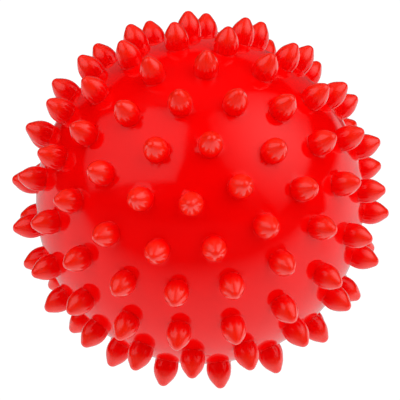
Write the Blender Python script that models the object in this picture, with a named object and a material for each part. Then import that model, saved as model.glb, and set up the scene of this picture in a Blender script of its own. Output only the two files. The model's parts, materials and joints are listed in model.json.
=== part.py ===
"""Spiky massage ball: a hollow soft PVC skin with spikes, a valve seat snapped into the wall and its stopper.

Metres, +Z up, the ball's centre at the origin. The ball lies as it rests on a table, on three spike tips.
"""

import math

import bmesh
import bpy
from mathutils import Matrix, Vector

# ---- driving dimensions ----

BALL_DIAMETER = 0.0778  # across the skin, between the spikes
WALL = 0.0022

# A spike is a pointed arch turned round its own axis: a foot, a slightly wider belly, a shoulder and a tip.
SPIKE_HEIGHT = 0.0061
SPIKE_FOOT_DIAMETER = 0.0054
SPIKE_BELLY_DIAMETER = 0.0058
SPIKE_BELLY_HEIGHT = 0.0018
SPIKE_SHOULDER_DIAMETER = 0.0036
SPIKE_TIP_LENGTH = 0.0016  # from the shoulder to the point

# Both halves of the skin leave the same mould cavity. Each row is one ring of spikes round the pole of that
# cavity: how many, how far from the pole and how far turned round it, in degrees.
SPIKE_RINGS = (
    (1, 0.0, 0.0),
    (6, 17.7, 0.0),
    (12, 34.1, 1.8),
    (15, 49.5, 14.7),
    (18, 63.7, 2.0),
    (20, 81.4, 9.3),
)
TURN_OVER = 93.2  # the second half is turned over about a line in the parting plane, at half this angle

# The ball rests on three spikes of the second half, each given as its ring and its place in that ring.
RESTING_SPIKES = ((2, 6), (3, 8), (3, 7))
POLE_AZIMUTH = -100.4  # where the first half's pole points, seen from above

GAP = 0.0003  # between pieces that touch

# The valve takes the place of the second half's pole spike. Its sizes start from the stopper and build
# outwards.
PLUG_HEAD_DIAMETER = 0.0070
PLUG_HEAD_THICKNESS = 0.0009
PLUG_HEAD_SINK = 0.0001  # how far the head lies below the flange's face
PLUG_DIMPLE_DIAMETER = 0.0026
PLUG_DIMPLE_DEPTH = 0.0004
PLUG_STEM_LENGTH = 0.0083
PLUG_TIP_DIAMETER = 0.0018
PLUG_TIP_LENGTH = 0.0008
BORE_DIAMETER = 0.0036

FLANGE_RIM = 0.0019  # the flange's ring outside the stopper's head
FLANGE_FLOOR = 0.0007  # the flange's thickness under the stopper's head
NECK_WALL = 0.0015
BARB_HOLD = 0.0011  # how far the barb stands out past the neck
BARB_THICKNESS = 0.0006
TAIL_WALL = 0.0012
TAIL_LENGTH = 0.0033

LAND_RIM = 0.0010  # the flat ring of skin left round the flange
GRIPPED_WALL = 0.0020  # the skin between the flange and the barb
BOSS_WALL = 0.0020  # the skin round the flange, inside the ball

SPIKE_SIDES = 8
VALVE_SIDES = 24
INNER_SUBDIVISIONS = 4
BOSS_CLEARANCE = 2.0  # degrees of the inner wall left free of other points round the boss
SHARP_ANGLE = 40.0  # degrees between two faces, past which their edge is drawn sharp
MERGE_DISTANCE = 1e-6

# ---- sizes that follow from them ----

BALL_RADIUS = BALL_DIAMETER / 2

# across the valve
FLANGE_DIAMETER = PLUG_HEAD_DIAMETER + 2 * (GAP + FLANGE_RIM)
LAND_DIAMETER = FLANGE_DIAMETER + 2 * (GAP + LAND_RIM)
BOSS_DIAMETER = FLANGE_DIAMETER + 2 * (GAP + BOSS_WALL)
NECK_DIAMETER = BORE_DIAMETER + 2 * NECK_WALL
BARB_DIAMETER = NECK_DIAMETER + 2 * BARB_HOLD
TAIL_DIAMETER = BORE_DIAMETER + 2 * TAIL_WALL

# down into the valve, from the flat land round it
LAND_LEVEL = math.sqrt(BALL_RADIUS**2 - (LAND_DIAMETER / 2) ** 2)  # the land's own distance from the centre
HEAD_DEPTH = PLUG_HEAD_SINK + PLUG_HEAD_THICKNESS
FLANGE_THICKNESS = HEAD_DEPTH + GAP + FLANGE_FLOOR
SEAT_DEPTH = FLANGE_THICKNESS + GAP
BOSS_DEPTH = SEAT_DEPTH + GRIPPED_WALL
BARB_DEPTH = BOSS_DEPTH + GAP


# ---- how the ball lies ----


def half_directions(second):
    """Unit directions of one half's spikes, keyed by ring and place, with the mould's pole on Z."""
    found = {}
    for ring, (count, from_pole, turned) in enumerate(SPIKE_RINGS):
        for place in range(count):
            round_pole = math.radians(turned + place * 360 / count)
            polar = math.radians(from_pole)
            if second:
                round_pole = math.radians(TURN_OVER) - round_pole
                polar = math.pi - polar
            found[ring, place] = Vector(
                (
                    math.sin(polar) * math.cos(round_pole),
                    math.sin(polar) * math.sin(round_pole),
                    math.cos(polar),
                )
            )
    return found


def resting_turn(tips):
    """The rotation that lays three tips level below the centre, with the first pole at its azimuth."""
    first, second, third = tips
    down = (second - first).cross(third - first).normalized()
    if down.dot(first) < 0:
        down.negate()
    levelled = down.rotation_difference(Vector((0, 0, -1))).to_matrix()
    pole = levelled @ Vector((0, 0, 1))
    spin = math.radians(POLE_AZIMUTH) - math.atan2(pole.y, pole.x)
    return Matrix.Rotation(spin, 3, "Z") @ levelled


def layout():
    """The directions of all spikes and of the valve, with the ball at rest."""
    upper = half_directions(second=False)
    lower = half_directions(second=True)
    turn = resting_turn([lower[spot] for spot in RESTING_SPIKES])
    valve = turn @ lower.pop((0, 0))
    spikes = [turn @ direction for direction in (*upper.values(), *lower.values())]
    return spikes, valve


# ---- mesh helpers ----


def frame_at(direction, distance):
    """A place on the ball: its Z points outwards, and its origin is that far from the centre."""
    turn = Vector((0, 0, 1)).rotation_difference(direction).to_matrix().to_4x4()
    return Matrix.Translation(direction * distance) @ turn


def add_ring(bm, place, radius, sides):
    """The points of one circle in the XY plane of a place."""
    ring = []
    for side in range(sides):
        angle = 2 * math.pi * side / sides
        point = Vector((radius * math.cos(angle), radius * math.sin(angle), 0))
        ring.append(bm.verts.new(place @ point))
    return ring


def wrap(bm, rings):
    """Stretches a skin over all the points, and gives the flat face that closes each ring."""
    bmesh.ops.convex_hull(bm, input=bm.verts[:], use_existing_faces=False)
    caps = []
    for ring in rings:
        points = set(ring)
        inside = {f for v in ring for f in v.link_faces if set(f.verts) <= points}
        closed = bmesh.ops.dissolve_faces(bm, faces=list(inside))
        caps.append(closed["region"][0])
    return caps


def draw_out(bm, cap, place, steps):
    """Draws a face out through circles given as (radius, height) over a place, and gives the last face."""
    inward = place.inverted()
    for radius, height in steps:
        cap = bmesh.ops.extrude_discrete_faces(bm, faces=[cap])["faces"][0]
        for vert in cap.verts:
            local = inward @ vert.co
            flat = Vector((local.x, local.y, 0)).normalized() * radius
            vert.co = place @ Vector((flat.x, flat.y, height))
    return cap


def new_object(name, bm, place, colour, roughness):
    """An object whose mesh is given about its own origin, with a material of its own."""
    mesh = bpy.data.meshes.new(name)
    bm.to_mesh(mesh)
    bm.free()
    mesh.shade_smooth()
    mesh.set_sharp_from_angle(angle=math.radians(SHARP_ANGLE))
    material = bpy.data.materials.new(name)
    material.use_nodes = True
    shader = material.node_tree.nodes["Principled BSDF"]
    shader.inputs["Base Color"].default_value = (*colour, 1)
    shader.inputs["Roughness"].default_value = roughness
    shader.inputs["Metallic"].default_value = 0.0
    mesh.materials.append(material)
    made = bpy.data.objects.new(name, mesh)
    made.matrix_world = place
    bpy.context.scene.collection.objects.link(made)
    return made


def turned_piece(outline):
    """A solid turned round Z from a closed outline of (radius, height), which may touch the axis."""
    bm = bmesh.new()
    points = [bm.verts.new((radius, 0, height)) for radius, height in outline]
    edges = [bm.edges.new(pair) for pair in zip(points, points[1:] + points[:1])]
    bmesh.ops.spin(
        bm,
        geom=points + edges,
        axis=(0, 0, 1),
        cent=(0, 0, 0),
        angle=2 * math.pi,
        steps=VALVE_SIDES,
        use_merge=True,
    )
    bmesh.ops.remove_doubles(bm, verts=bm.verts[:], dist=MERGE_DISTANCE)
    bmesh.ops.recalc_face_normals(bm, faces=bm.faces[:])
    return bm


# ---- the pieces ----


def make_ball_skin(spikes, valve):
    """The moulded skin: a hollow sphere with spikes, and a recess, a hole and an inner boss at the valve."""
    foot = SPIKE_FOOT_DIAMETER / 2
    foot_level = math.sqrt(BALL_RADIUS**2 - foot**2)
    land = frame_at(valve, LAND_LEVEL)
    hole = NECK_DIAMETER / 2 + GAP
    recess = FLANGE_DIAMETER / 2 + GAP

    bm = bmesh.new()
    places = [frame_at(direction, foot_level) for direction in spikes]
    rings = [add_ring(bm, place, foot, SPIKE_SIDES) for place in places]
    rings.append(add_ring(bm, land, LAND_DIAMETER / 2, VALVE_SIDES))
    caps = wrap(bm, rings)
    land_cap = caps.pop()

    rise = BALL_RADIUS - foot_level
    arch = (
        (SPIKE_BELLY_DIAMETER / 2, rise + SPIKE_BELLY_HEIGHT),
        (SPIKE_SHOULDER_DIAMETER / 2, rise + SPIKE_HEIGHT - SPIKE_TIP_LENGTH),
    )
    for cap, place in zip(caps, places):
        shoulder = draw_out(bm, cap, place, arch)
        tip = bmesh.ops.poke(bm, faces=[shoulder])["verts"][0]
        tip.co = place @ Vector((0, 0, rise + SPIKE_HEIGHT))

    recess_steps = ((recess, 0), (recess, -SEAT_DEPTH), (hole, -SEAT_DEPTH), (hole, -BOSS_DEPTH))
    mouth = draw_out(bm, land_cap, land, recess_steps)
    bmesh.ops.delete(bm, geom=[mouth], context="FACES_ONLY")
    bmesh.ops.recalc_face_normals(bm, faces=bm.faces[:])

    inner = make_inner_wall(valve, land, hole)
    mesh = bpy.data.meshes.new("inner_wall")
    inner.to_mesh(mesh)
    inner.free()
    bm.from_mesh(mesh)
    bpy.data.meshes.remove(mesh)
    bmesh.ops.remove_doubles(bm, verts=bm.verts[:], dist=MERGE_DISTANCE)
    return new_object("ball_skin", bm, Matrix.Identity(4), (0.80, 0.005, 0.008), 0.28)


def make_inner_wall(valve, land, hole):
    """The inside of the skin, facing the hollow, with a boss that stands in round the valve's hole."""
    radius = BALL_RADIUS - WALL
    boss = BOSS_DIAMETER / 2
    boss_level = math.sqrt(radius**2 - boss**2)
    boss_place = frame_at(valve, boss_level)
    clear_angle = math.asin(boss / radius) + math.radians(BOSS_CLEARANCE)

    bm = bmesh.new()
    bmesh.ops.create_icosphere(bm, subdivisions=INNER_SUBDIVISIONS, radius=radius)
    near = [v for v in bm.verts if v.co.angle(valve) < clear_angle]
    bmesh.ops.delete(bm, geom=near, context="VERTS")
    bmesh.ops.delete(bm, geom=bm.faces[:], context="FACES_ONLY")
    bmesh.ops.delete(bm, geom=bm.edges[:], context="EDGES_FACES")
    ring = add_ring(bm, boss_place, boss, VALVE_SIDES)
    cap = wrap(bm, [ring])[0]
    floor = LAND_LEVEL - BOSS_DEPTH - boss_level
    mouth = draw_out(bm, cap, boss_place, ((boss, floor), (hole, floor)))
    bmesh.ops.delete(bm, geom=[mouth], context="FACES_ONLY")
    bmesh.ops.recalc_face_normals(bm, faces=bm.faces[:])
    bmesh.ops.reverse_faces(bm, faces=bm.faces[:])
    return bm


def make_valve_seat(land):
    """The seat: a flange flush with the land, a neck through the wall, a barb behind it and a tail."""
    bore = BORE_DIAMETER / 2
    neck = NECK_DIAMETER / 2
    head_recess = PLUG_HEAD_DIAMETER / 2 + GAP
    head_floor = HEAD_DEPTH + GAP
    barb_back = BARB_DEPTH + BARB_THICKNESS
    outline = [
        (head_recess, 0),
        (FLANGE_DIAMETER / 2, 0),
        (FLANGE_DIAMETER / 2, -FLANGE_THICKNESS),
        (neck, -FLANGE_THICKNESS),
        (neck, -BARB_DEPTH),
        (BARB_DIAMETER / 2, -BARB_DEPTH),
        (BARB_DIAMETER / 2, -barb_back),
        (TAIL_DIAMETER / 2, -barb_back - TAIL_LENGTH),
        (bore, -barb_back - TAIL_LENGTH),
        (bore, -head_floor),
        (head_recess, -head_floor),
    ]
    return new_object("valve_seat", turned_piece(outline), land, (0.55, 0.004, 0.006), 0.45)


def make_valve_plug(land):
    """The stopper, turned: a dimpled head that fills the seat's recess, on a stem with a blunt tip."""
    stem = BORE_DIAMETER / 2 - GAP
    dimple = PLUG_DIMPLE_DIAMETER / 2
    stem_end = -HEAD_DEPTH - PLUG_STEM_LENGTH
    outline = [
        (0, -PLUG_HEAD_SINK - PLUG_DIMPLE_DEPTH),
        (dimple, -PLUG_HEAD_SINK),
        (PLUG_HEAD_DIAMETER / 2, -PLUG_HEAD_SINK),
        (PLUG_HEAD_DIAMETER / 2, -HEAD_DEPTH),
        (stem, -HEAD_DEPTH),
        (stem, stem_end + PLUG_TIP_LENGTH),
        (PLUG_TIP_DIAMETER / 2, stem_end),
        (0, stem_end),
    ]
    return new_object("valve_plug", turned_piece(outline), land, (0.75, 0.73, 0.68), 0.4)


def main():
    for leftover in list(bpy.data.objects):
        bpy.data.objects.remove(leftover)
    spikes, valve = layout()
    land = frame_at(valve, LAND_LEVEL)
    make_ball_skin(spikes, valve)
    make_valve_seat(land)
    make_valve_plug(land)


main()
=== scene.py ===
import json
import math

import bpy
from mathutils import Matrix, Vector


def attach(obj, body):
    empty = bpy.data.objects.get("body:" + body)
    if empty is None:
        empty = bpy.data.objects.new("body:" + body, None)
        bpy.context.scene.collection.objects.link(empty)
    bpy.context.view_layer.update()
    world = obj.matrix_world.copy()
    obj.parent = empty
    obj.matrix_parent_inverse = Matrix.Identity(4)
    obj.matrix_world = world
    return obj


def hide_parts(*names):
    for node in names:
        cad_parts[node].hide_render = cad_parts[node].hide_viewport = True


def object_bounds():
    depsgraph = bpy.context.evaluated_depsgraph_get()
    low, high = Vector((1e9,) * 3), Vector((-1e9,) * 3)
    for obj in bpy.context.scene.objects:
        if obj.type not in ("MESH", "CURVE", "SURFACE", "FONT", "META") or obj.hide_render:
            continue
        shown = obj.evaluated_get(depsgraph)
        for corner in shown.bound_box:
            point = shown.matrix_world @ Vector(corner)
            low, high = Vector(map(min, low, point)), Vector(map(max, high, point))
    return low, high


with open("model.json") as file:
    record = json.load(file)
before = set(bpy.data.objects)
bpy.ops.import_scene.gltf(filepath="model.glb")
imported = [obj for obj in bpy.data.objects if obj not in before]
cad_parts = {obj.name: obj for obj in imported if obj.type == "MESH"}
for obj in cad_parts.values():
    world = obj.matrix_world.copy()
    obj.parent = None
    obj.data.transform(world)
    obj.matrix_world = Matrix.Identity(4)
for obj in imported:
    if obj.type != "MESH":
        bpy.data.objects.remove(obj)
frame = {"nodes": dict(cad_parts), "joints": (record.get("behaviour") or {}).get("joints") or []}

cad_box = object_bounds()


# ---------------------------------------------------------------- the skin's spikes
# The skin and its spikes are one rotational moulding in soft gloss PVC. A spike is solid, pointed like a
# bud, and grows out of the skin with a tiny fillet. One is modelled and then copied to its places.

BALL_RADIUS = 0.0389
SPIKE_HEIGHT = 0.0061
SPIKE_FOOT_RADIUS = 0.0027
SPIKE_BELLY_RADIUS = 0.0029
SPIKE_SHOULDER = 0.0050  # the radius of the curve from the belly to the flank
SPIKE_TIP_ROUNDING = 0.0014
SPIKE_FLANK = math.radians(38)  # how far the flank leans in
FILLET = 0.00006
SPIKE_SIDES = 20
FILLET_STEPS = 2
WALL_STEPS = 2
SHOULDER_STEPS = 4
TIP_STEPS = 4
TIP_SHARE = 0.9  # a corner of the frame's skin is a spike's point if it stands out by this share of a spike


def level_on_ball(radius):
    """The height over the ball's centre of a circle of this radius that lies on the skin."""
    return math.sqrt(BALL_RADIUS**2 - radius**2)


def spike_outline():
    """The spike's outline above its first circle, as (radius, height over the ball's centre)."""
    tip_centre = BALL_RADIUS + SPIKE_HEIGHT - SPIKE_TIP_ROUNDING
    shoulder_radius = SPIKE_BELLY_RADIUS - SPIKE_SHOULDER * (1 - math.cos(SPIKE_FLANK))
    flank_width = shoulder_radius - SPIKE_TIP_ROUNDING * math.cos(SPIKE_FLANK)
    flank_top = tip_centre + SPIKE_TIP_ROUNDING * math.sin(SPIKE_FLANK)
    shoulder_level = flank_top - flank_width / math.tan(SPIKE_FLANK)
    belly_level = shoulder_level - SPIKE_SHOULDER * math.sin(SPIKE_FLANK)
    foot_level = level_on_ball(SPIKE_FOOT_RADIUS)
    outline = []
    for step in range(1, FILLET_STEPS + 1):
        turn = math.pi / 2 * step / FILLET_STEPS
        radius = SPIKE_FOOT_RADIUS + FILLET * (1 - math.sin(turn))
        outline.append((radius, foot_level + FILLET * (1 - math.cos(turn))))
    wall_foot = foot_level + FILLET
    swell = SPIKE_BELLY_RADIUS - SPIKE_FOOT_RADIUS
    for step in range(1, WALL_STEPS + 1):
        share = step / WALL_STEPS
        radius = SPIKE_FOOT_RADIUS + swell * math.sin(math.pi / 2 * share)
        outline.append((radius, wall_foot + (belly_level - wall_foot) * share))
    for step in range(1, SHOULDER_STEPS + 1):
        turn = SPIKE_FLANK * step / SHOULDER_STEPS
        radius = SPIKE_BELLY_RADIUS - SPIKE_SHOULDER * (1 - math.cos(turn))
        outline.append((radius, belly_level + SPIKE_SHOULDER * math.sin(turn)))
    for step in range(TIP_STEPS):
        turn = SPIKE_FLANK + (math.pi / 2 - SPIKE_FLANK) * step / TIP_STEPS
        radius = SPIKE_TIP_ROUNDING * math.cos(turn)
        outline.append((radius, tip_centre + SPIKE_TIP_ROUNDING * math.sin(turn)))
    return outline


def frame_at(direction, distance=0.0):
    """A place on the ball: its Z points outwards, and its origin is that far from the centre."""
    turn = Vector((0, 0, 1)).rotation_difference(direction).to_matrix().to_4x4()
    return Matrix.Translation(direction * distance) @ turn


def spike_directions():
    """Where the frame has a spike's point: the corners of the skin that stand farthest out."""
    points = frame["nodes"]["ball_skin"].data.vertices
    reach = BALL_RADIUS + TIP_SHARE * SPIKE_HEIGHT
    found = {tuple(round(c, 4) for c in v.co.normalized()) for v in points if v.co.length > reach}
    return [Vector(direction).normalized() for direction in sorted(found)]


bpy.ops.object.select_all(action="DESELECT")
skirt_radius = SPIKE_FOOT_RADIUS + FILLET
bpy.ops.mesh.primitive_circle_add(
    vertices=SPIKE_SIDES, radius=skirt_radius, location=(0, 0, level_on_ball(skirt_radius))
)
spike = bpy.context.object
bpy.ops.object.transform_apply()
bpy.ops.object.mode_set(mode="EDIT")
bpy.ops.mesh.select_all(action="SELECT")
last_radius, last_height = skirt_radius, level_on_ball(skirt_radius)
for radius, height in spike_outline():
    bpy.ops.mesh.extrude_edges_move(TRANSFORM_OT_translate={"value": (0, 0, height - last_height)})
    grow = radius / last_radius
    bpy.ops.transform.resize(value=(grow, grow, 1), center_override=(0, 0, height))
    last_radius, last_height = radius, height
bpy.ops.mesh.extrude_edges_move(
    TRANSFORM_OT_translate={"value": (0, 0, BALL_RADIUS + SPIKE_HEIGHT - last_height)}
)
bpy.ops.mesh.merge(type="CENTER")
bpy.ops.object.mode_set(mode="OBJECT")

spikes = []
for direction in spike_directions():
    copy = spike.copy()
    copy.data = spike.data.copy()
    copy.matrix_world = frame_at(direction)
    bpy.context.scene.collection.objects.link(copy)
    spikes.append(copy)
bpy.data.objects.remove(spike)
for copy in spikes:
    copy.select_set(True)
bpy.context.view_layer.objects.active = spikes[0]
bpy.ops.object.join()
bpy.ops.object.transform_apply()
spikes = bpy.context.object


# ---------------------------------------------------------------- the skin itself
# The skin is a true sphere between the spikes. It is stretched over the first circle of every spike and a
# fine net of points. At the valve it has a flat land with a recess, a hole and a thicker boss inside.

LAND_RADIUS = 0.0070
LAND_RIM = 0.0010
RECESS_DEPTH = 0.0023
HOLE_RADIUS = 0.0036
GRIPPED_WALL = 0.0020
BOSS_RADIUS = 0.0080
WALL = 0.0022
VALVE_SIDES = 64
NET_FINENESS = 6
INNER_FINENESS = 5
NET_CLEARANCE = 0.0003  # the net stays this far from a spike's first circle and from the land
BOSS_CLEARANCE = 0.0009
SLACK = 1e-6  # a smaller difference counts as none
WELD = 5e-6  # corners nearer than this become one
SKIN_EDGE = math.radians(50)  # a sharper corner of the skin is drawn as an edge

valve_axis = Vector(frame["joints"][0]["axis"]).normalized()
land_level = level_on_ball(LAND_RADIUS)


def loose_points(radius, fineness, holes):
    """An even net of points on a sphere, but none in the holes, each given as (direction, radius)."""
    bpy.ops.object.select_all(action="DESELECT")
    bpy.ops.mesh.primitive_ico_sphere_add(subdivisions=fineness, radius=radius)
    net = bpy.context.object
    bpy.ops.object.mode_set(mode="EDIT")
    bpy.ops.mesh.select_all(action="SELECT")
    bpy.ops.mesh.delete(type="EDGE_FACE")
    bpy.ops.object.mode_set(mode="OBJECT")
    limits = [(direction, math.cos(math.asin(size / radius))) for direction, size in holes]
    for vertex in net.data.vertices:
        outward = vertex.co.normalized()
        vertex.select = any(outward.dot(direction) > limit for direction, limit in limits)
    bpy.ops.object.mode_set(mode="EDIT")
    bpy.ops.mesh.delete(type="VERT")
    bpy.ops.object.mode_set(mode="OBJECT")
    return net


def circle_at(direction, distance, radius, sides):
    """A bare circle across a direction from the ball's centre."""
    bpy.ops.object.select_all(action="DESELECT")
    bpy.ops.mesh.primitive_circle_add(vertices=sides, radius=radius)
    circle = bpy.context.object
    circle.matrix_world = frame_at(direction, distance)
    bpy.ops.object.transform_apply()
    return circle


def join(*pieces):
    """Joins pieces into the first of them."""
    bpy.ops.object.select_all(action="DESELECT")
    for piece in pieces:
        piece.select_set(True)
    bpy.context.view_layer.objects.active = pieces[0]
    bpy.ops.object.join()
    return bpy.context.object


def select_faces(piece, wanted):
    """Selects the faces that the test accepts, and leaves the piece in edit mode on faces."""
    bpy.ops.object.mode_set(mode="EDIT")
    bpy.ops.mesh.select_mode(type="FACE")
    bpy.ops.mesh.select_all(action="DESELECT")
    bpy.ops.object.mode_set(mode="OBJECT")
    points = [vertex.co for vertex in piece.data.vertices]
    for face in piece.data.polygons:
        face.select = wanted([points[corner] for corner in face.vertices])
    bpy.ops.object.mode_set(mode="EDIT")


def wrap(piece):
    """Stretches a skin over all the points of a piece."""
    bpy.ops.object.select_all(action="DESELECT")
    piece.select_set(True)
    bpy.context.view_layer.objects.active = piece
    bpy.ops.object.mode_set(mode="EDIT")
    bpy.ops.mesh.select_all(action="SELECT")
    bpy.ops.mesh.convex_hull(delete_unused=False, use_existing_faces=False, join_triangles=False)
    bpy.ops.mesh.select_all(action="SELECT")
    bpy.ops.mesh.normals_make_consistent(inside=False)
    bpy.ops.object.mode_set(mode="OBJECT")


directions = spike_directions()
bpy.ops.object.select_all(action="DESELECT")
spikes.select_set(True)
bpy.context.view_layer.objects.active = spikes
bpy.ops.object.mode_set(mode="EDIT")
bpy.ops.mesh.select_mode(type="VERT")
bpy.ops.mesh.select_all(action="DESELECT")
bpy.ops.object.mode_set(mode="OBJECT")
for vertex in spikes.data.vertices:
    vertex.select = abs(vertex.co.length - BALL_RADIUS) < SLACK
bpy.ops.object.mode_set(mode="EDIT")
bpy.ops.mesh.duplicate()
bpy.ops.mesh.separate(type="SELECTED")
bpy.ops.object.mode_set(mode="OBJECT")
skirts = next(o for o in bpy.context.selected_objects if o != spikes)

spike_holes = [(direction, skirt_radius + NET_CLEARANCE) for direction in directions]
valve_hole = (valve_axis, LAND_RADIUS + NET_CLEARANCE)
net = loose_points(BALL_RADIUS, NET_FINENESS, [*spike_holes, valve_hole])
skin = join(skirts, net, circle_at(valve_axis, land_level, LAND_RADIUS, VALVE_SIDES))
wrap(skin)

skirt_limit = math.cos(math.asin(skirt_radius / BALL_RADIUS)) - SLACK


def under_a_spike(corners):
    """Whether a face of the skin lies inside one spike's first circle."""
    outward = sum(corners, Vector()).normalized()
    nearest = max(directions, key=outward.dot)
    return all(corner.normalized().dot(nearest) > skirt_limit for corner in corners)


select_faces(skin, under_a_spike)
bpy.ops.mesh.delete(type="ONLY_FACE")
bpy.ops.object.mode_set(mode="OBJECT")


def lies_level(level):
    """A test for the faces that lie flat across the valve's axis at this level."""
    return lambda corners: all(abs(corner.dot(valve_axis) - level) < SLACK for corner in corners)


select_faces(skin, lies_level(land_level))
bpy.ops.mesh.dissolve_faces()
bpy.ops.mesh.inset(thickness=LAND_RIM)
bpy.ops.mesh.extrude_region_move(TRANSFORM_OT_translate={"value": -valve_axis * RECESS_DEPTH})
bpy.ops.mesh.inset(thickness=LAND_RADIUS - LAND_RIM - HOLE_RADIUS)
bpy.ops.mesh.extrude_region_move(TRANSFORM_OT_translate={"value": -valve_axis * GRIPPED_WALL})
bpy.ops.mesh.delete(type="ONLY_FACE")
bpy.ops.object.mode_set(mode="OBJECT")

inner_radius = BALL_RADIUS - WALL
boss_level = math.sqrt(inner_radius**2 - BOSS_RADIUS**2)
boss_drop = boss_level - (land_level - RECESS_DEPTH - GRIPPED_WALL)
net = loose_points(inner_radius, INNER_FINENESS, [(valve_axis, BOSS_RADIUS + BOSS_CLEARANCE)])
lining = join(net, circle_at(valve_axis, boss_level, BOSS_RADIUS, VALVE_SIDES))
wrap(lining)
select_faces(lining, lies_level(boss_level))
bpy.ops.mesh.dissolve_faces()
bpy.ops.mesh.extrude_region_move(TRANSFORM_OT_translate={"value": -valve_axis * boss_drop})
bpy.ops.mesh.inset(thickness=BOSS_RADIUS - HOLE_RADIUS)
bpy.ops.mesh.delete(type="ONLY_FACE")
bpy.ops.mesh.select_all(action="SELECT")
bpy.ops.mesh.flip_normals()
bpy.ops.object.mode_set(mode="OBJECT")

skin = join(skin, spikes, lining)
skin.name = "ball_skin_moulding"
bpy.ops.object.mode_set(mode="EDIT")
bpy.ops.mesh.select_all(action="SELECT")
bpy.ops.mesh.remove_doubles(threshold=WELD)
bpy.ops.object.mode_set(mode="OBJECT")
bpy.ops.object.shade_smooth_by_angle(angle=SKIN_EDGE)


class Wire:
    """A socket of a finish. Arithmetic on it adds the Math nodes."""

    def __init__(self, finish, socket):
        self.finish = finish
        self.socket = socket

    def maths(self, operation, first, second):
        return self.finish.node("ShaderNodeMath", {"operation": operation}, {0: first, 1: second})

    def __add__(self, other):
        return self.maths("ADD", self, other)

    def __radd__(self, other):
        return self.maths("ADD", other, self)

    def __mul__(self, other):
        return self.maths("MULTIPLY", self, other)

    def __rmul__(self, other):
        return self.maths("MULTIPLY", other, self)


class Finish:
    """A material, made node by node."""

    def __init__(self, name):
        self.material = bpy.data.materials.new(name)
        self.material.use_nodes = True
        self.tree = self.material.node_tree
        self.shader = self.tree.nodes["Principled BSDF"]

    def give(self, socket, value):
        """Links a wire to a socket, or sets any other value on it."""
        if isinstance(value, Wire):
            self.tree.links.new(value.socket, socket)
        else:
            socket.default_value = value

    def node(self, kind, settings, sockets, output=0):
        """Adds a node, sets it up, then fills its sockets with values or links, and gives one output."""
        made = self.tree.nodes.new(kind)
        for setting, value in settings.items():
            setattr(made, setting, value)
        for name, value in sockets.items():
            self.give(made.inputs[name], value)
        return Wire(self, made.outputs[output])

    def set(self, **sockets):
        """Fills the shader's own sockets, given as Base_Color and so on."""
        for name, value in sockets.items():
            self.give(self.shader.inputs[name.replace("_", " ")], value)


def ramp(finish, value, start, end, low=0.0, high=1.0):
    """Goes smoothly from low to high as the value goes from start to end."""
    limits = {"Value": value, "From Min": start, "From Max": end, "To Min": low, "To Max": high}
    return finish.node("ShaderNodeMapRange", {"interpolation_type": "SMOOTHSTEP"}, limits)


PVC_RED = (0.95, 0.0006, 0.0008, 1)
# The tips' lighter, more orange red is painted glow. It stands in for the light that the tips catch and
# scatter from the lamps all round, and is not a colour of the PVC.
PVC_RED_TIPS_PAINTED_GLOW = (1.0, 0.014, 0.003, 1)
TIPS_START = 0.3  # the tips' coat and their painted glow come in between these shares of a spike's height
TIPS_FULL = 0.7
PVC_ROUGHNESS = 0.055
PVC_CLOUDING = 0.03  # added where the mould was cloudy
TIPS_DULLING = 0.06  # added towards the tips
TIPS_COAT_ROUGHNESS = 0.18

pvc = Finish("gloss_red_pvc")
place = pvc.node("ShaderNodeTexCoord", {}, {}, "Object")
from_centre = pvc.node("ShaderNodeVectorMath", {"operation": "LENGTH"}, {0: place}, "Value")
up_the_spike = pvc.node(
    "ShaderNodeMapRange",
    {"clamp": True},
    {"Value": from_centre, "From Min": BALL_RADIUS, "From Max": BALL_RADIUS + SPIKE_HEIGHT},
)
# This one mask brings in both the tips' real coat and rougher gloss and their painted glow.
tips_coat_and_painted_glow = ramp(pvc, up_the_spike, TIPS_START, TIPS_FULL)
clouds = pvc.node("ShaderNodeTexNoise", {}, {"Vector": place, "Scale": 60.0, "Detail": 2.0})
grain = pvc.node("ShaderNodeTexNoise", {}, {"Vector": place, "Scale": 1800.0, "Detail": 2.0})
# Towards the tips the base colour turns to the painted glow's lighter orange red.
red = pvc.node(
    "ShaderNodeMix", {"data_type": "RGBA"}, {"Factor": tips_coat_and_painted_glow, "A": PVC_RED, "B": PVC_RED_TIPS_PAINTED_GLOW}, "Result"
)
roughness = PVC_ROUGHNESS + clouds * PVC_CLOUDING + tips_coat_and_painted_glow * TIPS_DULLING
bump = pvc.node("ShaderNodeBump", {}, {"Height": grain, "Strength": 0.02, "Distance": 0.00005})
pvc.set(Base_Color=red, Roughness=roughness, IOR=1.5, Normal=bump)
pvc.set(Coat_Weight=tips_coat_and_painted_glow, Coat_Roughness=TIPS_COAT_ROUGHNESS)
skin.data.materials.clear()
skin.data.materials.append(pvc.material)

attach(skin, "ball")
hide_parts("ball_skin")


# ---------------------------------------------------------------- the valve seat
# The seat is a small turned moulding in the same soft PVC, pushed through the skin's hole from outside. Its
# flange lies in the recess, its neck passes the thick wall, and its barb opens behind the boss.

BORE_RADIUS = 0.0018
HEAD_RECESS_RADIUS = 0.0038
HEAD_RECESS_DEPTH = 0.0013
FLANGE_RADIUS = 0.0057
FLANGE_DEPTH = 0.0020
NECK_RADIUS = 0.0033
BARB_RADIUS = 0.0044
BARB_TOP = 0.0046
BARB_FOOT = 0.0052
TAIL_RADIUS = 0.0030
TAIL_FOOT = 0.0085
SOFT_EDGE = 0.00012
SOFT_EDGE_ANGLE = math.radians(30)  # sharper corners of the outline get the soft edge
TURNED_EDGE = math.radians(35)


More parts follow.
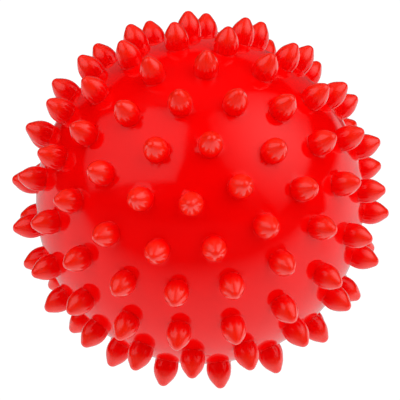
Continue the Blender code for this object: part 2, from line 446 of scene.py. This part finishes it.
def turned(name, outline, start):
    """Turns an outline of (radius, height over the land) round the valve's axis, from a ring or a disc."""
    radius, height = outline[0]
    bpy.ops.object.select_all(action="DESELECT")
    bpy.ops.mesh.primitive_circle_add(
        vertices=VALVE_SIDES, radius=radius, location=(0, 0, height), fill_type=start
    )
    piece = bpy.context.object
    piece.name = name
    bpy.ops.object.transform_apply()
    bpy.ops.object.mode_set(mode="EDIT")
    bpy.ops.mesh.select_all(action="SELECT")
    extrude = bpy.ops.mesh.extrude_edges_move if start == "NOTHING" else bpy.ops.mesh.extrude_region_move
    for next_radius, next_height in outline[1:]:
        extrude(TRANSFORM_OT_translate={"value": (0, 0, next_height - height)})
        grow = next_radius / radius
        bpy.ops.transform.resize(value=(grow, grow, 1), center_override=(0, 0, next_height))
        radius, height = next_radius, next_height
    bpy.ops.mesh.select_all(action="SELECT")
    bpy.ops.mesh.remove_doubles(threshold=SLACK)
    bpy.ops.mesh.normals_make_consistent(inside=False)
    bpy.ops.object.mode_set(mode="OBJECT")
    bevel = piece.modifiers.new("soft_edges", "BEVEL")
    bevel.width = SOFT_EDGE
    bevel.segments = 2
    bevel.limit_method = "ANGLE"
    bevel.angle_limit = SOFT_EDGE_ANGLE
    bpy.ops.object.modifier_apply(modifier=bevel.name)
    piece.matrix_world = frame_at(valve_axis, land_level)
    bpy.ops.object.transform_apply()
    bpy.ops.object.shade_smooth_by_angle(angle=TURNED_EDGE)
    return piece


seat = turned(
    "valve_seat_moulding",
    [
        (BORE_RADIUS, -TAIL_FOOT),
        (TAIL_RADIUS, -TAIL_FOOT),
        (BARB_RADIUS, -BARB_FOOT),
        (BARB_RADIUS, -BARB_TOP),
        (NECK_RADIUS, -BARB_TOP),
        (NECK_RADIUS, -FLANGE_DEPTH),
        (FLANGE_RADIUS, -FLANGE_DEPTH),
        (FLANGE_RADIUS, 0),
        (HEAD_RECESS_RADIUS, 0),
        (HEAD_RECESS_RADIUS, -HEAD_RECESS_DEPTH),
        (BORE_RADIUS, -HEAD_RECESS_DEPTH),
        (BORE_RADIUS, -TAIL_FOOT),
    ],
    "NOTHING",
)

SEAT_RED = (0.62, 0.001, 0.002, 1)
SEAT_RED_CLOUDS = (0.74, 0.004, 0.004, 1)
SEAT_ROUGHNESS = 0.3
SEAT_CLOUDING = 0.15

seat_finish = Finish("satin_red_pvc")
place = seat_finish.node("ShaderNodeTexCoord", {}, {}, "Object")
clouds = seat_finish.node("ShaderNodeTexNoise", {}, {"Vector": place, "Scale": 350.0, "Detail": 3.0})
grain = seat_finish.node("ShaderNodeTexNoise", {}, {"Vector": place, "Scale": 4000.0, "Detail": 2.0})
red = seat_finish.node(
    "ShaderNodeMix",
    {"data_type": "RGBA"},
    {"Factor": clouds, "A": SEAT_RED, "B": SEAT_RED_CLOUDS},
    "Result",
)
bump = seat_finish.node("ShaderNodeBump", {}, {"Height": grain, "Strength": 0.25, "Distance": 0.00003})
seat_finish.set(Base_Color=red, Roughness=SEAT_ROUGHNESS + clouds * SEAT_CLOUDING, Normal=bump)
seat.data.materials.append(seat_finish.material)

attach(seat, "ball")
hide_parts("valve_seat")


# ---------------------------------------------------------------- the air stopper
# The stopper is a milky polythene pin with a flat head. It is pressed into the seat's bore by hand, and a
# dimple in its head takes the point of the tool that pulls it out again.

HEAD_RADIUS = 0.0035
HEAD_TOP = 0.0001
HEAD_FOOT = 0.0010
DIMPLE_RADIUS = 0.0013
DIMPLE_FLOOR_RADIUS = 0.00104
DIMPLE_FLOOR = 0.0005
STEM_RADIUS = 0.0015
STEM_FOOT = 0.0085
TIP_RADIUS = 0.0009
TIP_FOOT = 0.0093

stopper = turned(
    "air_stopper",
    [
        (TIP_RADIUS, -TIP_FOOT),
        (STEM_RADIUS, -STEM_FOOT),
        (STEM_RADIUS, -HEAD_FOOT),
        (HEAD_RADIUS, -HEAD_FOOT),
        (HEAD_RADIUS, -HEAD_TOP),
        (DIMPLE_RADIUS, -HEAD_TOP),
        (DIMPLE_FLOOR_RADIUS, -DIMPLE_FLOOR),
    ],
    "NGON",
)

MILKY_WHITE = (0.72, 0.70, 0.64, 1)
MILKY_WHITE_CLOUDS = (0.84, 0.83, 0.79, 1)
MILKY_ROUGHNESS = 0.32
MILKY_CLOUDING = 0.14

milky = Finish("milky_polythene")
place = milky.node("ShaderNodeTexCoord", {}, {}, "Object")
clouds = milky.node("ShaderNodeTexNoise", {}, {"Vector": place, "Scale": 260.0, "Detail": 3.0})
grain = milky.node("ShaderNodeTexNoise", {}, {"Vector": place, "Scale": 5000.0, "Detail": 2.0})
white = milky.node(
    "ShaderNodeMix",
    {"data_type": "RGBA"},
    {"Factor": clouds, "A": MILKY_WHITE, "B": MILKY_WHITE_CLOUDS},
    "Result",
)
bump = milky.node("ShaderNodeBump", {}, {"Height": grain, "Strength": 0.2, "Distance": 0.00002})
milky.set(Base_Color=white, Roughness=MILKY_ROUGHNESS + clouds * MILKY_CLOUDING, Normal=bump)
stopper.data.materials.append(milky.material)

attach(stopper, "plug")
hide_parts("valve_plug")


# ---------------------------------------------------------------- the studio
# A white table, two large softboxes over the ball's front, pale walls behind it and a dark room round the
# camera. The gloss mirrors the cards and the table's glow, and the lights bring out the colour.

CAMERA_DISTANCE = 0.6224
CAMERA_ELEVATION = 15.65
CAMERA_ROLL = math.radians(1.23)
LENS = 235.8
FLOOR_SIZE = 6
FLOOR_WHITE = (1.06, 1.06, 1.06, 1)
TABLE_SIZE = 10
TABLE_DROP = 0.5  # the table that the gloss mirrors lies this far under the ball's centre
TABLE_AWAY = (0.08, 1, 0)  # away from the camera, and a little to the right
TABLE_DARK = -1.05  # the table is dark up to this distance past the ball, in metres,
TABLE_LIT = -0.1  # and fully lit from here on
TABLE_SIDE = 0.5  # how far out to the left and to the right its glow goes on changing
TABLE_LEFT = 0.57
TABLE_RIGHT = 0.72
HEM = 0.12  # a card fades out over this much of its rim

lowest = cad_box[0][2]


def emitter(name, glow, cover=None):
    """A finish that only shines. Its glow and its cover may vary over the piece."""
    finish = Finish(name)
    finish.set(Base_Color=(0, 0, 0, 1), Roughness=1.0, Specular_IOR_Level=0.0)
    finish.set(Emission_Color=glow(finish), Emission_Strength=1.0)
    if cover:
        finish.set(Alpha=cover(finish))
    return finish.material


def seen_by(piece, *rays):
    """Leaves a studio piece visible to these kinds of ray only."""
    piece.visible_camera = "camera" in rays
    piece.visible_diffuse = "diffuse" in rays
    piece.visible_glossy = "glossy" in rays
    piece.visible_transmission = False
    piece.visible_shadow = False


bpy.ops.object.select_all(action="DESELECT")
bpy.ops.mesh.primitive_plane_add(size=FLOOR_SIZE, location=(0, 0, lowest))
floor = bpy.context.object
floor.name = "floor"
floor.data.materials.append(emitter("white_floor", lambda finish: FLOOR_WHITE))
seen_by(floor, "camera", "diffuse")


def table_shine(finish):
    """What the gloss mirrors of the table: dark towards the camera, and brighter to the right."""
    where = finish.node("ShaderNodeTexCoord", {}, {}, "Object")
    dot = {"operation": "DOT_PRODUCT"}
    past_the_ball = finish.node("ShaderNodeVectorMath", dot, {0: where, 1: TABLE_AWAY}, "Value")
    rightwards = finish.node("ShaderNodeVectorMath", dot, {0: where, 1: (1, 0, 0)}, "Value")
    glow = ramp(finish, rightwards, -TABLE_SIDE, TABLE_SIDE, TABLE_LEFT, TABLE_RIGHT)
    return ramp(finish, past_the_ball, TABLE_DARK, TABLE_LIT) * glow


bpy.ops.mesh.primitive_plane_add(size=TABLE_SIZE, location=(0, 0, -TABLE_DROP))
table = bpy.context.object
bpy.ops.object.transform_apply()
table.name = "table_glow"
table.data.materials.append(emitter("table_glow", table_shine))
seen_by(table, "glossy")


def outward_at(azimuth, elevation):
    """A unit direction from the ball's centre, in degrees round from the camera and up from the table."""
    turn, lift = math.radians(azimuth), math.radians(elevation)
    return Vector((math.sin(turn) * math.cos(lift), -math.cos(turn) * math.cos(lift), math.sin(lift)))


def glow_card(name, azimuth, elevation, corners, glow_at, bright, edge, reach):
    """A glowing card a metre off that faces the ball, with its corners and glow given across and up.

    It is bright where its glow is, and fades from there to its edge glow at the glow's reach.
    """
    outward = outward_at(azimuth, elevation)
    across = outward_at(azimuth + 90, 0)
    upward = outward.cross(across)
    bpy.ops.object.select_all(action="DESELECT")
    bpy.ops.mesh.primitive_circle_add(vertices=len(corners), fill_type="NGON")
    card = bpy.context.object
    card.name = name
    for vertex, (sideways, up) in zip(card.data.vertices, corners):
        vertex.co = outward + across * sideways + upward * up
    bpy.ops.object.mode_set(mode="EDIT")
    bpy.ops.mesh.select_all(action="SELECT")
    bpy.ops.mesh.inset(thickness=HEM)
    bpy.ops.object.mode_set(mode="OBJECT")
    lit = card.data.attributes.new("lit", "FLOAT", "POINT")
    for vertex in card.data.vertices:
        lit.data[vertex.index].value = float(vertex.select)
    middle = outward + across * glow_at[0] + upward * glow_at[1]

    def shine(finish):
        where = finish.node("ShaderNodeTexCoord", {}, {}, "Object")
        away = finish.node("ShaderNodeVectorMath", {"operation": "DISTANCE"}, {0: where, 1: middle}, "Value")
        return ramp(finish, away, 0.0, reach, bright, edge)

    def cover(finish):
        hem = finish.node("ShaderNodeAttribute", {"attribute_name": "lit"}, {}, "Fac")
        return ramp(finish, hem, 0.0, 1.0)

    card.data.materials.append(emitter(name, shine, cover))
    seen_by(card, "glossy")


LEFT_SOFTBOX = (
    (0.84, -0.12), (0.7, 0.26), (0.36, 0.66), (-0.02, 0.64), (-0.93, 0.12), (-0.74, -0.44), (-0.45, -0.74)
)
RIGHT_SOFTBOX = (
    (-0.78, 0.2), (-0.66, 0.54), (-0.38, 0.97), (0.35, 0.82), (0.87, 0.5), (1.06, 0.06), (-0.3, -0.8)
)
RIGHT_WALL = ((-0.62, -0.4), (0.62, -0.4), (0.62, 0.34), (-0.62, 0.34))
BACK_WALL = ((-0.8, -0.5), (0.8, -0.5), (0.8, 0.45), (-0.8, 0.45))

glow_card("softbox_left", -62, 40, LEFT_SOFTBOX, glow_at=(0.15, 0.1), bright=0.54, edge=0.2, reach=1.3)
glow_card("softbox_right", 68, 38, RIGHT_SOFTBOX, glow_at=(0.12, 0.1), bright=0.97, edge=0.12, reach=0.85)
glow_card("right_wall", 125, -8, RIGHT_WALL, glow_at=(0, -0.1), bright=0.8, edge=0.5, reach=0.8)
glow_card("back_wall", 180, 18, BACK_WALL, glow_at=(0, 0), bright=0.13, edge=0.08, reach=0.8)


def soft_light(name, azimuth, elevation, size, power):
    """A soft light a metre off. It lights the colour and the tips' softer coat, but isn't mirrored."""
    outward = outward_at(azimuth, elevation)
    light = bpy.data.lights.new(name, "AREA")
    light.size = size
    light.energy = power
    lamp = bpy.data.objects.new(name, light)
    lamp.location = outward
    lamp.rotation_euler = outward.to_track_quat("Z", "Y").to_euler()
    lamp.visible_glossy = False
    bpy.context.scene.collection.objects.link(lamp)


soft_light("key_left", -60, 40, size=1.2, power=6.8)
soft_light("key_right", 60, 40, size=1.2, power=9.0)
soft_light("top_light", 180, 75, size=1.0, power=4.8)

world = bpy.data.worlds.new("studio")
bpy.context.scene.world = world
world.use_nodes = True
world.node_tree.nodes["Background"].inputs["Color"].default_value = (1, 1, 1, 1)
world.cycles_visibility.diffuse = False
world.cycles_visibility.glossy = False

camera_data = bpy.data.cameras.new("camera")
camera_data.lens = LENS
camera = bpy.data.objects.new("camera", camera_data)
toward_camera = outward_at(0, CAMERA_ELEVATION)
camera.matrix_world = (
    Matrix.Translation(toward_camera * CAMERA_DISTANCE)
    @ toward_camera.to_track_quat("Z", "Y").to_matrix().to_4x4()
    @ Matrix.Rotation(CAMERA_ROLL, 4, "Z")
)
bpy.context.scene.collection.objects.link(camera)
bpy.context.scene.camera = camera
bpy.context.scene.view_settings.view_transform = "Standard"
